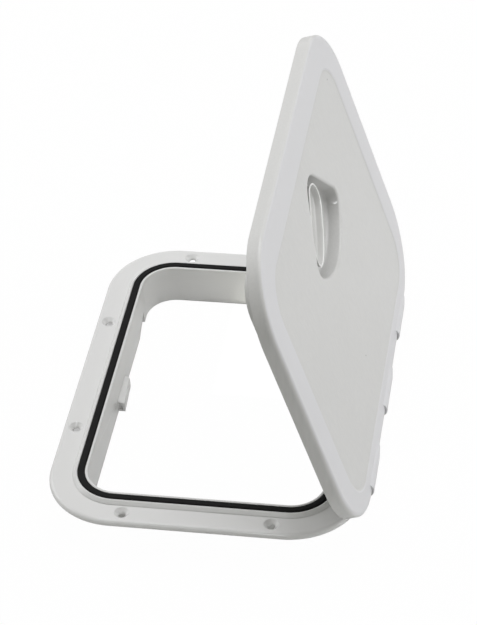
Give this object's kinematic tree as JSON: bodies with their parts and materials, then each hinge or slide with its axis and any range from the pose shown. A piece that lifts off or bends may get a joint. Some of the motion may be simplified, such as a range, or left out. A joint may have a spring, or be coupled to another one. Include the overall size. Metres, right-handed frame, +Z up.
{
  "type": "deck inspection plate",
  "caption": "Hinged deck access hatch in white plastic with a rotary flush handle, a black gasket and a countersunk mounting frame, lid open.",
  "frame": {"origin": "middle of the deck screw pattern on the flange's underside, where the deck surface lies", "axes": "+Z up out of the deck, +X towards the hinge, +Y along the hinge"},
  "size_m": [0.2644, 0.375, 0.2874],
  "materials": {
    "white_frame": "gloss moulded",
    "white_lid": "satin moulded",
    "white_lever": "gloss moulded",
    "black_rubber": "matte",
    "natural_nylon": "matte",
    "black_nylon": "matte",
    "stainless": "satin"
  },
  "bodies": {
    "frame": {"frame": "white_frame", "gasket": "black_rubber"},
    "lid": {"lid": "white_lid", "hinge_pin_1": "stainless", "hinge_pin_2": "stainless", "hinge_pin_3": "stainless", "friction_washer": "natural_nylon", "thrust_washer": "natural_nylon"},
    "latch": {"handle_lever": "white_lever", "shaft_o_ring": "black_rubber", "latch_tongue": "black_nylon", "tongue_washer": "stainless", "tongue_screw": "stainless"}
  },
  "joints": [
    {"name": "lid_hinge", "type": "hinge", "parent": "frame", "child": "lid", "pos_m": [0.1296, 0, 0.00788], "axis": [0, 1, 0], "range_deg": [-73, 22]},
    {"name": "handle_turn", "type": "hinge", "parent": "lid", "child": "latch", "pos_m": [0.06607, 0.0082, 0.18871], "axis": [0.9563, 0, 0.2924], "range_deg": [0, 90]}
  ]
}
